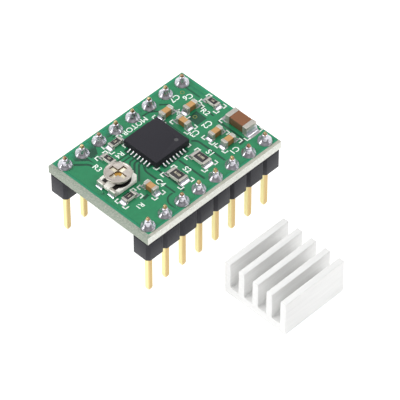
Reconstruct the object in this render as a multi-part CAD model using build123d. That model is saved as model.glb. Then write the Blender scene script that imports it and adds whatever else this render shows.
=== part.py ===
from build123d import *
from math import sqrt
import os

# Stepper motor driver module: a small circuit board that stands on two rows of square
# header pins, with a driver chip, a trimmer that sets the motor current, and chip
# capacitors and resistors soldered on top. Its finned heatsink lies beside it, not yet
# stuck to the chip.
#
# Frame: +X along the pin rows, +Y from the front row to the rear row, +Z up. The origin
# is the centre of the pin pattern, in the plane of the pin tips. Millimetres.

# ---------------------------------------------------------------- driving dimensions

# Header rows
PITCH = 2.54                  # pin to pin along a row
PINS_PER_ROW = 8
ROW_SPACING = 12.7            # front row to rear row
PIN_SIDE = 0.64               # square section
PIN_BELOW = 6.0               # pin tip to the underside of the plastic strip
PIN_ABOVE = 1.4               # end of the pin above the board
PIN_POINT = 0.5               # length of the tapered point
PIN_POINT_SIDE = 0.36         # flat left at the end of the point
STRIP_WIDTH = 2.54
STRIP_HEIGHT = 2.54
STRIP_GAP = 0.15              # strip to the underside of the board
STRIP_NOTCH = 0.34            # chamfer on each cell's corners, a V between two cells

# Circuit board
BOARD_THICKNESS = 1.0
BOARD_END_MARGIN = 0.0        # board beyond the ends of the strips
BOARD_SIDE_MARGIN = 0.0       # board beyond the outer sides of the strips
HOLE_CLEARANCE = 0.05         # from a pin's corner to the wall of its plated hole

# Solder on the header pins
JOINT_BASE_RADIUS = 0.88
JOINT_HEIGHT = 1.12
JOINT_WAIST_RADIUS = 0.62     # at half its height, where its side is hollow
JOINT_TOP_COLLAR = 0.06       # solder left round a pin's corners at the top of its joint
BARREL_CLEARANCE = 0.01       # solder to the wall of the plated hole

# Driver chip, a flat package with leads on all four sides and a thermal pad below
CHIP_SIDE = 5.0
CHIP_HEIGHT = 0.9
CHIP_X = 0.2
CHIP_Y = 1.53
CHIP_EDGE_CHAMFER = 0.05
LEAD_PITCH = 0.5
LEADS_PER_SIDE = 7
LEAD_WIDTH = 0.18
LEAD_LENGTH = 0.45
LEAD_THICKNESS = 0.2
THERMAL_PAD_SIDE = 3.15
DIE_LENGTH = 2.6
DIE_WIDTH = 2.2
DIE_HEIGHT = 0.28
DIMPLE_RADIUS = 0.25          # pin 1 mark
DIMPLE_DEPTH = 0.05
DIMPLE_INSET = 1.0            # from the two nearest sides

# Solder under and against the surface-mounted pieces
FILM = 0.04                   # solder between a piece and the board
CHIP_SOLDER_REACH = 0.48      # solder beyond the side of the chip
CHIP_SOLDER_WIDTH = 0.18
END_SOLDER_REACH = 0.32       # solder beyond the end of a capacitor or resistor
END_SOLDER_RISE = 0.6         # its height against the end, as a share of the end's height

# Trimmer potentiometer
TRIMMER_FROM_LEFT = 3.56      # axis, from the left edge of the board
TRIMMER_Y = 0.5
TRIMMER_LENGTH = 3.6
TRIMMER_WIDTH = 3.0
TRIMMER_BASE_HEIGHT = 0.5
TRIMMER_CORNER = 0.5
TERMINAL_THICKNESS = 0.1
TERMINAL_WIDTH = 0.95
TERMINAL_SPACING = 1.8        # between the two terminals at the left end
TERMINAL_FOOT = 0.7           # length under the base
TERMINAL_LIP = 0.32           # length over the base
TERMINAL_SOLDER_REACH = 0.18  # solder beyond a terminal
TRACK_INNER = 0.86
TRACK_OUTER = 1.44
TRACK_THICKNESS = 0.04
TRACK_LEG_INNER = 0.5         # the two legs of the horseshoe, from the middle line
TRACK_LEG_OUTER = 1.05
ROTOR_RADIUS = 1.56
ROTOR_FOOT_RADIUS = 1.2       # the rotor tapers in below its rim
ROTOR_HEIGHT = 0.74
ROTOR_GAP = 0.26              # base to the rotor's underside
ROTOR_RIM = 0.1               # straight part of the rim
ROTOR_RIM_ROUND = 0.05
ROTOR_LIP = 0.13              # width of the raised edge round the top
ROTOR_SINK = 0.05             # the top inside that edge is lower
SLOT_LENGTH = 2.2             # each way across the screwdriver cross
SLOT_WIDTH = 0.58
SLOT_DEPTH = 0.24
PIT_RADIUS = 0.42             # deeper middle of the cross
PIT_DEPTH = 0.46
HUB_RADIUS = 0.4
HUB_CLEARANCE = 0.03
RIVET_RADIUS = 0.62           # flared end of the hub, in a recess under the base
RIVET_THICKNESS = 0.1
WIPER_WIDTH = 0.45
WIPER_THICKNESS = 0.08
WIPER_TIP_RADIUS = 0.14
WIPER_CLEARANCE = 0.02        # tip to the track

# Chip capacitors and resistors: length, width, height, length of an end cap
SMALL_CAPACITOR = (1.6, 0.8, 0.8, 0.36)
BULK_CAPACITOR = (3.2, 1.6, 1.1, 0.6)
SMALL_RESISTOR = (1.6, 0.8, 0.45, 0.27)
SENSE_RESISTOR = (2.0, 1.25, 0.5, 0.3)
END_CAP_SKIN = 0.04           # thickness of the metal on the ends
COAT_INSET = 0.05             # bare ceramic along each side of a resistor's coat

# Heatsink, lying on the surface beside the front pin row
HEATSINK_SIDE = 9.0
HEATSINK_HEIGHT = 4.75
HEATSINK_BASE = 1.2
FIN_COUNT = 5
FIN_THICKNESS = 0.8
HEATSINK_X = 0.95
HEATSINK_FROM_BOARD = 4.95    # gap between the board's front edge and the heatsink
TAPE_THICKNESS = 0.15
TAPE_INSET = 0.1              # tape edge inside the heatsink's edge

# ------------------------------------------------------------ sizes that follow from them

STRIP_LENGTH = PINS_PER_ROW * PITCH
BOARD_LENGTH = STRIP_LENGTH + 2 * BOARD_END_MARGIN
BOARD_WIDTH = ROW_SPACING + STRIP_WIDTH + 2 * BOARD_SIDE_MARGIN
BOARD_BOTTOM = PIN_BELOW + STRIP_HEIGHT + STRIP_GAP
BOARD_TOP = BOARD_BOTTOM + BOARD_THICKNESS
PIN_TOP = BOARD_TOP + PIN_ABOVE
PIN_CORNER = PIN_SIDE / sqrt(2)
HOLE_RADIUS = PIN_CORNER + HOLE_CLEARANCE
LEFT = -BOARD_LENGTH / 2
RIGHT = BOARD_LENGTH / 2
FRONT_ROW = -ROW_SPACING / 2
REAR_ROW = ROW_SPACING / 2

SEATED = (Align.CENTER, Align.CENTER, Align.MIN)
os.makedirs("parts", exist_ok=True)


def save(name, shape):
    """Write one node."""
    shape.label = name
    export_step(shape, "parts/" + name + ".step")


def group(solids):
    """Separate solids that share one node."""
    return Compound(children=solids)


def seated_box(length, width, height, bottom=0.0):
    return Pos(0, 0, bottom) * Box(length, width, height, align=SEATED)


def pin_x(index):
    return (index - (PINS_PER_ROW - 1) / 2) * PITCH


# ------------------------------------------------------------------------ header rows

def square_at(side, height):
    return Pos(0, 0, height) * Rectangle(side, side)


def header_pin():
    """Square pin with a tapered point at both ends, standing on z = 0."""
    low_point = loft([square_at(PIN_POINT_SIDE, 0), square_at(PIN_SIDE, PIN_POINT)])
    shank = seated_box(PIN_SIDE, PIN_SIDE, PIN_TOP - 2 * PIN_POINT, PIN_POINT)
    high_point = loft([square_at(PIN_SIDE, PIN_TOP - PIN_POINT), square_at(PIN_POINT_SIDE, PIN_TOP)])
    return low_point + shank + high_point


def header_strip():
    """Eight chamfered cells in a row, each with a square hole for its pin."""
    cell = seated_box(PITCH, STRIP_WIDTH, STRIP_HEIGHT, PIN_BELOW)
    cell = chamfer(cell.edges().filter_by(Axis.Z), STRIP_NOTCH)
    hole = seated_box(PIN_SIDE, PIN_SIDE, STRIP_HEIGHT, PIN_BELOW)
    strip = Part()
    for index in range(PINS_PER_ROW):
        strip += Pos(pin_x(index), 0, 0) * cell
    for index in range(PINS_PER_ROW):
        strip -= Pos(pin_x(index), 0, 0) * hole
    return strip


def pin_joint(pin):
    """Hollow-sided cone of solder on top of the board that also fills the plated hole."""
    barrel = HOLE_RADIUS - BARREL_CLEARANCE
    collar = PIN_CORNER + JOINT_TOP_COLLAR
    peak = BOARD_TOP + JOINT_HEIGHT
    outline = Polyline(
        (collar, peak), (0, peak), (0, BOARD_BOTTOM), (barrel, BOARD_BOTTOM),
        (barrel, BOARD_TOP), (JOINT_BASE_RADIUS, BOARD_TOP),
    )
    side = ThreePointArc(
        (JOINT_BASE_RADIUS, BOARD_TOP),
        (JOINT_WAIST_RADIUS, BOARD_TOP + JOINT_HEIGHT / 2),
        (collar, peak),
    )
    section = Plane.XZ * make_face([outline, side])
    return revolve(section, Axis.Z) - pin


PIN_NAMES = {
    "front": ("logic_ground", "logic_supply", "coil_1b", "coil_1a",
              "coil_2a", "coil_2b", "motor_ground", "motor_supply"),
    "rear": ("direction", "step", "sleep", "reset",
             "microstep_3", "microstep_2", "microstep_1", "enable"),
}
pin = header_pin()
joint = pin_joint(pin)
for row_name, row_y in (("front", FRONT_ROW), ("rear", REAR_ROW)):
    save("header_strip_" + row_name, Pos(0, row_y, 0) * header_strip())
    places = [Pos(pin_x(index), row_y, 0) for index in range(PINS_PER_ROW)]
    for place, pin_name in zip(places, PIN_NAMES[row_name]):
        save("pin_" + pin_name, place * pin)
    save("pin_solder_" + row_name, group([place * joint for place in places]))

# ---------------------------------------------------------------------- circuit board

board = seated_box(BOARD_LENGTH, BOARD_WIDTH, BOARD_THICKNESS, BOARD_BOTTOM)
plated_hole = Pos(0, 0, BOARD_BOTTOM) * Cylinder(HOLE_RADIUS, BOARD_THICKNESS, align=SEATED)
for row_y in (FRONT_ROW, REAR_ROW):
    for index in range(PINS_PER_ROW):
        board -= Pos(pin_x(index), row_y, 0) * plated_hole
save("circuit_board", board)


# -------------------------------------------------------------------------- solder fillet

def solder_wedge(inner, face, reach, rise, width):
    """Solder on the board from x = inner to x = face, and up against a face looking along +X.

    The outer surface is a hollow curve from the board up to rise.
    """
    outer = face + reach
    outline = Polyline(
        (face, FILM + rise), (face, FILM), (inner, FILM), (inner, 0), (outer, 0), (outer, FILM),
    )
    hollow = Bezier((outer, FILM), (face + reach / 5, FILM + rise / 5), (face, FILM + rise))
    section = Plane.XZ * make_face([outline, hollow])
    return extrude(section, amount=width / 2, both=True)


# --------------------------------------------------------------------------- driver chip

def on_four_sides(piece):
    """Copies of a piece made for the +X side, one for each side."""
    return [Rot(0, 0, 90 * quarter) * piece for quarter in range(4)]


def in_lead_row(piece):
    offsets = [(index - (LEADS_PER_SIDE - 1) / 2) * LEAD_PITCH for index in range(LEADS_PER_SIDE)]
    return [Pos(0, offset, 0) * piece for offset in offsets]


chip_place = Pos(CHIP_X, CHIP_Y, BOARD_TOP)
lead = Pos(CHIP_SIDE / 2 - LEAD_LENGTH / 2, 0, 0) * seated_box(
    LEAD_LENGTH, LEAD_WIDTH, LEAD_THICKNESS, FILM)
leads = [copy for row_lead in in_lead_row(lead) for copy in on_four_sides(row_lead)]
thermal_pad = seated_box(THERMAL_PAD_SIDE, THERMAL_PAD_SIDE, LEAD_THICKNESS, FILM)
die = seated_box(DIE_LENGTH, DIE_WIDTH, DIE_HEIGHT, FILM + LEAD_THICKNESS)

package = seated_box(CHIP_SIDE, CHIP_SIDE, CHIP_HEIGHT, FILM)
package = chamfer(package.edges().group_by(Axis.Z)[-1], CHIP_EDGE_CHAMFER)
dimple_offset = CHIP_SIDE / 2 - DIMPLE_INSET
package -= Pos(dimple_offset, -dimple_offset, FILM + CHIP_HEIGHT) * Cylinder(
    DIMPLE_RADIUS, 2 * DIMPLE_DEPTH)
for inner_piece in leads + [thermal_pad, die]:
    package -= inner_piece

chip_wedge = solder_wedge(CHIP_SIDE / 2 - LEAD_LENGTH, CHIP_SIDE / 2, CHIP_SOLDER_REACH,
                          LEAD_THICKNESS, CHIP_SOLDER_WIDTH)
chip_wedges = [copy for wedge in in_lead_row(chip_wedge) for copy in on_four_sides(wedge)]
pad_solder = seated_box(THERMAL_PAD_SIDE, THERMAL_PAD_SIDE, FILM)

save("chip_package", chip_place * package)
save("chip_contacts", group([chip_place * piece for piece in leads + [thermal_pad]]))
save("chip_die", chip_place * die)
save("chip_solder", group([chip_place * piece for piece in chip_wedges + [pad_solder]]))

# ---------------------------------------------------------------- trimmer potentiometer

trimmer_place = Pos(LEFT + TRIMMER_FROM_LEFT, TRIMMER_Y, BOARD_TOP)
base_bottom = FILM + TERMINAL_THICKNESS
base_top = base_bottom + TRIMMER_BASE_HEIGHT
rotor_underside = base_top + ROTOR_GAP
rotor_top = rotor_underside + ROTOR_HEIGHT


def trimmer_base():
    """Ceramic plate with cut corners, a hole for the hub and a recess for its rivet."""
    plate = seated_box(TRIMMER_LENGTH, TRIMMER_WIDTH, TRIMMER_BASE_HEIGHT, base_bottom)
    plate = chamfer(plate.edges().filter_by(Axis.Z), TRIMMER_CORNER)
    plate -= Cylinder(HUB_RADIUS + HUB_CLEARANCE, 4 * TRIMMER_BASE_HEIGHT)
    recess_depth = RIVET_THICKNESS + 2 * HUB_CLEARANCE
    recess = Cylinder(RIVET_RADIUS + HUB_CLEARANCE, recess_depth, align=SEATED)
    return plate - Pos(0, 0, base_bottom) * recess


def trimmer_track():
    """Horseshoe of resistive film on the base, with two legs that run to the clips at -X."""
    leg_end = -(TRIMMER_LENGTH / 2 - TERMINAL_LIP)
    ring = Circle(TRACK_OUTER) - Circle(TRACK_INNER)
    opening = Pos(-TRACK_OUTER, 0) * Rectangle(2 * TRACK_OUTER, 2 * TRACK_LEG_INNER)
    beyond = Pos(leg_end - TRACK_OUTER, 0) * Rectangle(2 * TRACK_OUTER, 4 * TRACK_OUTER)
    film = ring - opening
    for side in (1, -1):
        width = TRACK_LEG_OUTER - TRACK_LEG_INNER
        middle = side * (TRACK_LEG_OUTER + TRACK_LEG_INNER) / 2
        root = -TRACK_INNER * 0.6
        leg = Pos((leg_end + root) / 2, middle) * Rectangle(root - leg_end, width)
        film += leg - Circle(TRACK_INNER)
    return Pos(0, 0, base_top) * extrude(film - beyond, amount=TRACK_THICKNESS)


def terminal():
    """Metal clip folded round the +X edge of the base: foot, upright and lip."""
    face = TRIMMER_LENGTH / 2
    outer = face + TERMINAL_THICKNESS
    top = base_top + TERMINAL_THICKNESS
    outline = Polyline(
        (face - TERMINAL_FOOT, FILM), (outer, FILM), (outer, top), (face - TERMINAL_LIP, top),
        (face - TERMINAL_LIP, base_top), (face, base_top), (face, base_bottom),
        (face - TERMINAL_FOOT, base_bottom), (face - TERMINAL_FOOT, FILM),
    )
    section = Plane.XZ * make_face([outline])
    return extrude(section, amount=TERMINAL_WIDTH / 2, both=True)


def on_terminal_places(piece):
    """One copy at the middle of the +X side and two on the -X side."""
    turned = Rot(0, 0, 180) * piece
    offset = TERMINAL_SPACING / 2
    return [piece, Pos(0, offset, 0) * turned, Pos(0, -offset, 0) * turned]


def trimmer_rotor():
    """Metal cup, widest at its raised top edge, with a riveted hub and a screwdriver cross."""
    rivet_bottom = base_bottom + HUB_CLEARANCE
    rivet_top = rivet_bottom + RIVET_THICKNESS
    plate_top = rotor_top - ROTOR_SINK
    rim_corner = rotor_top - ROTOR_RIM_ROUND
    shoulder = ROTOR_RADIUS - ROTOR_RIM_ROUND
    diagonal = ROTOR_RIM_ROUND / sqrt(2)
    lip_inner = ROTOR_RADIUS - ROTOR_LIP
    outline = Polyline(
        (shoulder, rotor_top), (lip_inner, rotor_top), (lip_inner - ROTOR_SINK, plate_top),
        (0, plate_top), (0, rivet_bottom), (RIVET_RADIUS, rivet_bottom), (RIVET_RADIUS, rivet_top),
        (HUB_RADIUS, rivet_top), (HUB_RADIUS, rotor_underside), (ROTOR_FOOT_RADIUS, rotor_underside),
        (ROTOR_RADIUS, rim_corner - ROTOR_RIM), (ROTOR_RADIUS, rim_corner),
    )
    rim = ThreePointArc((ROTOR_RADIUS, rim_corner),
                        (shoulder + diagonal, rim_corner + diagonal), (shoulder, rotor_top))
    section = Plane.XZ * make_face([outline, rim])
    rotor = revolve(section, Axis.Z)
    for turn in (0, 90):
        arm = Box(SLOT_LENGTH, SLOT_WIDTH, 2 * SLOT_DEPTH)
        rotor -= Pos(0, 0, plate_top) * Rot(0, 0, turn) * arm
    return rotor - Pos(0, 0, plate_top) * Cylinder(PIT_RADIUS, 2 * PIT_DEPTH)


def trimmer_wiper():
    """Spring leaf under the rotor, with a round tip over the middle of the track."""
    track_middle = (TRACK_INNER + TRACK_OUTER) / 2
    start = HUB_RADIUS + HUB_CLEARANCE
    length = track_middle + WIPER_TIP_RADIUS - start
    leaf_bottom = rotor_underside - WIPER_THICKNESS
    leaf = Pos(start + length / 2, 0, 0) * seated_box(length, WIPER_WIDTH, WIPER_THICKNESS, leaf_bottom)
    tip_bottom = base_top + TRACK_THICKNESS + WIPER_CLEARANCE
    tip = Cylinder(WIPER_TIP_RADIUS, leaf_bottom - tip_bottom, align=SEATED)
    return leaf + Pos(track_middle, 0, tip_bottom) * tip


terminal_solder = solder_wedge(
    TRIMMER_LENGTH / 2 - TERMINAL_FOOT, TRIMMER_LENGTH / 2 + TERMINAL_THICKNESS,
    TERMINAL_SOLDER_REACH, END_SOLDER_RISE * TRIMMER_BASE_HEIGHT, TERMINAL_WIDTH)
save("trimmer_base", trimmer_place * trimmer_base())
save("trimmer_track", trimmer_place * trimmer_track())
save("trimmer_terminals", group([trimmer_place * clip for clip in on_terminal_places(terminal())]))
save("trimmer_rotor", trimmer_place * trimmer_rotor())
save("trimmer_wiper", trimmer_place * trimmer_wiper())
component_solder = [trimmer_place * piece for piece in on_terminal_places(terminal_solder)]


# -------------------------------------------------------- chip capacitors and resistors

def ceramic_block(case):
    """Ceramic inside the end caps, long side along X, one film of solder above the board."""
    length, width, height, _ = case
    skin = 2 * END_CAP_SKIN
    block = seated_box(length - skin, width - skin, height - skin, FILM + END_CAP_SKIN)
    return fillet(block.edges(), END_CAP_SKIN / 2)


def end_caps(case, block):
    """Metal over the two ends of the block, with rounded edges."""
    length, width, height, cap = case
    shell = fillet(seated_box(length, width, height, FILM).edges(), END_CAP_SKIN)
    middle = Box(length - 2 * cap, 2 * width, 4 * height)
    return shell - middle - block


def resistor_coat(case):
    """Dark protective coat over the resistive film, between the end caps."""
    length, width, height, cap = case
    flat = width - 2 * (END_CAP_SKIN + COAT_INSET)
    return seated_box(length - 2 * cap, flat, END_CAP_SKIN, FILM + height - END_CAP_SKIN)


def end_solder(case):
    """The two solder fillets of a piece."""
    length, width, height, cap = case
    fillet_at_x = solder_wedge(length / 2 - cap, length / 2, END_SOLDER_REACH,
                               END_SOLDER_RISE * height, width)
    return [Rot(0, 0, turn) * fillet_at_x for turn in (0, 180)]


# Name, case, middle (x, y), and the turn of the long side from +X
PLACED_CAPACITORS = [
    ("capacitor_c1", SMALL_CAPACITOR, (4.2, 4.1), 0),
    ("capacitor_c2", SMALL_CAPACITOR, (RIGHT - 3.46, 2.85), 0),
    ("capacitor_c3", SMALL_CAPACITOR, (4.5, 1.7), 90),
    ("capacitor_c4", SMALL_CAPACITOR, (RIGHT - 4.36, -1.9), 0),
    ("capacitor_c5", SMALL_CAPACITOR, (RIGHT - 4.26, -3.75), 0),
    ("capacitor_c6", SMALL_CAPACITOR, (LEFT + 5.26, -2.8), 90),
    ("bulk_capacitor", BULK_CAPACITOR, (RIGHT - 1.34, -2.78), 90),
]
PLACED_RESISTORS = [
    ("resistor_r1", SMALL_RESISTOR, (RIGHT - 1.16, 1.7), 90),
    ("resistor_r2", SMALL_RESISTOR, (-2.85, 4.8), 0),
    ("resistor_r3", SMALL_RESISTOR, (LEFT + 5.06, 3.5), 90),
    ("resistor_r4", SMALL_RESISTOR, (LEFT + 2.71, -2.05), 0),
    ("sense_resistor_1", SENSE_RESISTOR, (-1.6, -3.45), 90),
    ("sense_resistor_2", SENSE_RESISTOR, (2.0, -3.45), 90),
]

coats = []
for name, case, middle, turn in PLACED_CAPACITORS + PLACED_RESISTORS:
    place = Pos(*middle, BOARD_TOP) * Rot(0, 0, turn)
    body = ceramic_block(case)
    save(name + "_body", place * body)
    save(name + "_ends", place * end_caps(case, body))
    component_solder += [place * piece for piece in end_solder(case)]
    if (name, case, middle, turn) in PLACED_RESISTORS:
        coats.append(place * resistor_coat(case))
save("resistor_coats", group(coats))
save("component_solder", group(component_solder))

# ----------------------------------------------------------------------------- heatsink

heatsink_y = -BOARD_WIDTH / 2 - HEATSINK_FROM_BOARD - HEATSINK_SIDE / 2
heatsink_place = Pos(HEATSINK_X, heatsink_y, 0)
fin_step = (HEATSINK_SIDE - FIN_THICKNESS) / (FIN_COUNT - 1)
heatsink = seated_box(HEATSINK_SIDE, HEATSINK_SIDE, HEATSINK_BASE, TAPE_THICKNESS)
for index in range(FIN_COUNT):
    fin = seated_box(HEATSINK_SIDE, FIN_THICKNESS, HEATSINK_HEIGHT, TAPE_THICKNESS)
    heatsink += Pos(0, (index - (FIN_COUNT - 1) / 2) * fin_step, 0) * fin
tape_side = HEATSINK_SIDE - 2 * TAPE_INSET
save("heatsink", heatsink_place * heatsink)
save("heatsink_tape", heatsink_place * seated_box(tape_side, tape_side, TAPE_THICKNESS))
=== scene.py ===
import bmesh
import bpy
from math import cos, pi, radians, sin
from mathutils import Matrix, Vector


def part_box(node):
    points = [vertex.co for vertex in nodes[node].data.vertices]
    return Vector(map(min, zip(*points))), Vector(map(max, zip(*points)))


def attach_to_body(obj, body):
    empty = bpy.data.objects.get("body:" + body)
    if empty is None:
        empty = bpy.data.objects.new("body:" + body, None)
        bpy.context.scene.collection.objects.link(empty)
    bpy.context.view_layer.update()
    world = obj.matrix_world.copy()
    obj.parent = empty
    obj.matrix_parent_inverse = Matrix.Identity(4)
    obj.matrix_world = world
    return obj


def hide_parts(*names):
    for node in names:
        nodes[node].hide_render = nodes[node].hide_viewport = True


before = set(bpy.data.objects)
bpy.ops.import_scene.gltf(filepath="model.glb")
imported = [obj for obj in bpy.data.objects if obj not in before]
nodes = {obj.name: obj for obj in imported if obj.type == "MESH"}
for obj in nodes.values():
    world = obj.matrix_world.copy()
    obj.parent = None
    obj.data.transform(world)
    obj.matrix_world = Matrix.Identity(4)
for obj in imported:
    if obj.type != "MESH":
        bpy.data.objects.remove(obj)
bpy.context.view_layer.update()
MM = 0.001

# ------------------------------------------------------------- camera, floor and lights
# The module is looked at from above its trimmer corner through a long lens. It stands on
# a sheet of matt white card, in the light of three large softboxes and a white room.

AIM = Vector((1.165, -4.119, 4.59)) * MM


def direction_to(azimuth, elevation):
    """Unit vector towards something seen at that azimuth and elevation."""
    a, e = radians(azimuth), radians(elevation)
    return Vector((sin(a) * cos(e), -cos(a) * cos(e), sin(e)))


def stand(data, azimuth, elevation, distance):
    """Puts a camera or a light at a distance from the module, facing it."""
    thing = bpy.data.objects.new(data.name, data)
    bpy.context.scene.collection.objects.link(thing)
    outward = direction_to(azimuth, elevation)
    thing.location = AIM + outward * distance
    thing.rotation_euler = outward.to_track_quat("Z", "Y").to_euler()
    return thing


lens = bpy.data.cameras.new("studio_camera")
lens.sensor_width = 36.0
lens.lens = 301.65
lens.clip_start = 0.01
lens.clip_end = 10.0
bpy.context.scene.camera = stand(lens, -45.21, 46.54, 364.1 * MM)


LIGHT_DISTANCE = 0.6


def softbox(name, azimuth, elevation, side, power):
    """Square light that faces the module."""
    light = bpy.data.lights.new(name, "AREA")
    light.size = side
    light.energy = power
    stand(light, azimuth, elevation, LIGHT_DISTANCE)


softbox("right_softbox", 45, 48, 0.30, 0.9)
softbox("rear_softbox", -170, 62, 0.45, 0.6)
softbox("left_softbox", -120, 40, 0.32, 1.5)

# The room is bright behind and above the module and dim low down on the camera's side,
# so that solder and plating show both light and dark.
room = bpy.data.worlds.new("white_room")
room.use_nodes = True
sky = room.node_tree
toward = sky.nodes.new("ShaderNodeTexCoord")
facing = sky.nodes.new("ShaderNodeVectorMath")
facing.operation = "DOT_PRODUCT"
facing.inputs[1].default_value = direction_to(135, 55)
brightness = sky.nodes.new("ShaderNodeMapRange")
brightness.inputs["From Min"].default_value = -0.15
brightness.inputs["From Max"].default_value = 0.75
brightness.inputs["To Min"].default_value = 0.2
brightness.inputs["To Max"].default_value = 0.8
sky.links.new(toward.outputs["Generated"], facing.inputs[0])
sky.links.new(facing.outputs["Value"], brightness.inputs["Value"])
sky.links.new(brightness.outputs["Result"], sky.nodes["Background"].inputs["Strength"])
sky.nodes["Background"].inputs["Color"].default_value = (1, 1, 1, 1)
bpy.context.scene.world = room
bpy.context.scene.view_settings.view_transform = "Standard"

card = bpy.data.materials.new("white_card")
card.use_nodes = True
card_shader = card.node_tree.nodes["Principled BSDF"]
card_shader.inputs["Base Color"].default_value = (0.5, 0.5, 0.5, 1)
card_shader.inputs["Roughness"].default_value = 0.9
card_shader.inputs["Specular IOR Level"].default_value = 0.1
card_shader.inputs["Emission Color"].default_value = (1, 1, 1, 1)
card_shader.inputs["Emission Strength"].default_value = 0.9
bpy.ops.mesh.primitive_plane_add(size=4, location=(0, 0, -0.01 * MM))
floor = bpy.context.object
floor.name = "floor"
floor.data.materials.append(card)

# ------------------------------------------------------------------------ circuit board
# Woven glass laminate, sawn to size, with copper and a green solder mask on both faces.
# The mask stops short of the sawn edges. It is lighter and stands a little higher over
# copper, and darker where the copper was etched away between two tracks.


def rgb(red, green, blue):
    """Screen colour, 0 to 255, as the linear colour that a shader wants."""
    channels = [c / 255 for c in (red, green, blue)]
    return [c / 12.92 if c <= 0.04045 else ((c + 0.055) / 1.055) ** 2.4 for c in channels]


def add(tree, kind, inputs=None, **settings):
    """Adds a node. Each of its inputs is a value, or another node's output."""
    node = tree.nodes.new(kind)
    for key, value in settings.items():
        setattr(node, key, value)
    for key, value in (inputs or {}).items():
        if isinstance(value, bpy.types.NodeSocket):
            tree.links.new(value, node.inputs[key])
        else:
            node.inputs[key].default_value = value
    return node


MIX_A, MIX_B, MIX_RESULT = 6, 7, 2      # colour sockets of a Mix node


def blend_colors(tree, share, first, second):
    mix = add(tree, "ShaderNodeMix", {0: share}, data_type="RGBA")
    for socket, color in ((MIX_A, first), (MIX_B, second)):
        if isinstance(color, bpy.types.NodeSocket):
            tree.links.new(color, mix.inputs[socket])
        else:
            mix.inputs[socket].default_value = (*color, 1)
    return mix.outputs[MIX_RESULT]


def finish(name, color, roughness, metallic=0.0, mottle=0.1, grain=0.3, relief=0.0,
           stretch=(1, 1, 1), coat=0.0, contrast=2.0, specular=0.5):
    """Material with a fine grain in its colour, gloss and relief.

    grain is the size of the grain and relief its height, both in millimetres; stretch
    shrinks the grain along an axis. mottle is how far the colour strays.
    """
    material = bpy.data.materials.new(name)
    material.use_nodes = True
    tree = material.node_tree
    shader = tree.nodes["Principled BSDF"]
    shader.inputs["Metallic"].default_value = metallic
    shader.inputs["Coat Weight"].default_value = coat
    shader.inputs["Specular IOR Level"].default_value = specular
    coords = add(tree, "ShaderNodeTexCoord")
    placed = add(tree, "ShaderNodeMapping", {
        "Vector": coords.outputs["Object"], "Scale": [s / (grain * MM) for s in stretch]})
    fine = add(tree, "ShaderNodeTexNoise", {
        "Vector": placed.outputs["Vector"], "Scale": 1.0, "Detail": 5.0, "Roughness": 0.6})
    share = add(tree, "ShaderNodeMapRange", {
        "Value": fine.outputs["Fac"], "From Min": 0.5 - 0.5 / contrast,
        "From Max": 0.5 + 0.5 / contrast}).outputs["Result"]
    dark = [c * (1 - mottle) for c in color]
    light = [min(1.0, c * (1 + mottle)) for c in color]
    tree.links.new(blend_colors(tree, share, dark, light), shader.inputs["Base Color"])
    gloss = add(tree, "ShaderNodeMapRange", {
        "Value": share, "To Min": roughness * 0.85, "To Max": min(1.0, roughness * 1.15)})
    tree.links.new(gloss.outputs["Result"], shader.inputs["Roughness"])
    if relief:
        bump = add(tree, "ShaderNodeBump", {"Height": share, "Distance": relief * MM})
        tree.links.new(bump.outputs["Normal"], shader.inputs["Normal"])
    return material


def repaint(material, *names):
    """Gives CAD nodes their finish."""
    for name in names:
        nodes[name].data.materials.clear()
        nodes[name].data.materials.append(material)


def linked(name, mesh, *materials):
    piece = bpy.data.objects.new(name, mesh)
    bpy.context.scene.collection.objects.link(piece)
    for material in materials:
        mesh.materials.append(material)
    return piece


def attach(piece, body, slot, *replaced):
    """Parents a finished piece to its body's empty and hides the CAD nodes that it replaces."""
    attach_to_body(piece, body)
    if replaced:
        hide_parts(*replaced)


def plain_mesh(piece):
    """The piece's evaluated mesh, with the piece itself removed."""
    depsgraph = bpy.context.evaluated_depsgraph_get()
    mesh = bpy.data.meshes.new_from_object(piece.evaluated_get(depsgraph), depsgraph=depsgraph)
    bpy.data.objects.remove(piece)
    return mesh


def geometry_tree(name, *sizes):
    """Empty geometry tree with a geometry, a material and these sizes as inputs."""
    tree = bpy.data.node_groups.new(name, "GeometryNodeTree")
    face = tree.interface
    face.new_socket("Geometry", in_out="OUTPUT", socket_type="NodeSocketGeometry")
    face.new_socket("Geometry", in_out="INPUT", socket_type="NodeSocketGeometry")
    face.new_socket("Material", in_out="INPUT", socket_type="NodeSocketMaterial")
    for size in sizes:
        face.new_socket(size, in_out="INPUT", socket_type="NodeSocketFloat")
    return tree, add(tree, "NodeGroupInput")


def close_tree(tree, entry, geometry):
    """Ends a tree: instances made real, then the material."""
    real = add(tree, "GeometryNodeRealizeInstances", {"Geometry": geometry})
    painted = add(tree, "GeometryNodeSetMaterial", {
        "Geometry": real.outputs["Geometry"], "Material": entry.outputs["Material"]})
    add(tree, "NodeGroupOutput", {"Geometry": painted.outputs["Geometry"]})
    return tree


def grow(name, source, tree, material, sizes):
    """Runs a geometry tree on an object and returns the result as a plain mesh piece."""
    modifier = source.modifiers.new(tree.name, "NODES")
    modifier.node_group = tree
    values = dict(sizes, Material=material)
    for socket in tree.interface.items_tree:
        if socket.in_out == "INPUT" and socket.name in values:
            modifier[socket.identifier] = values[socket.name]
    mesh = plain_mesh(source)
    mesh.name = name
    return linked(name, mesh)


def lines_object(name, paths, closed):
    """Curve object with one straight-sided spline for each path, in millimetres."""
    curve = bpy.data.curves.new(name, "CURVE")
    curve.dimensions = "3D"
    for path in paths:
        spline = curve.splines.new("POLY")
        spline.points.add(len(path) - 1)
        for point, (x, y, z) in zip(spline.points, path):
            point.co = (x * MM, y * MM, z * MM, 1)
        spline.use_cyclic_u = closed
    piece = bpy.data.objects.new(name, curve)
    bpy.context.scene.collection.objects.link(piece)
    return piece


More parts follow.
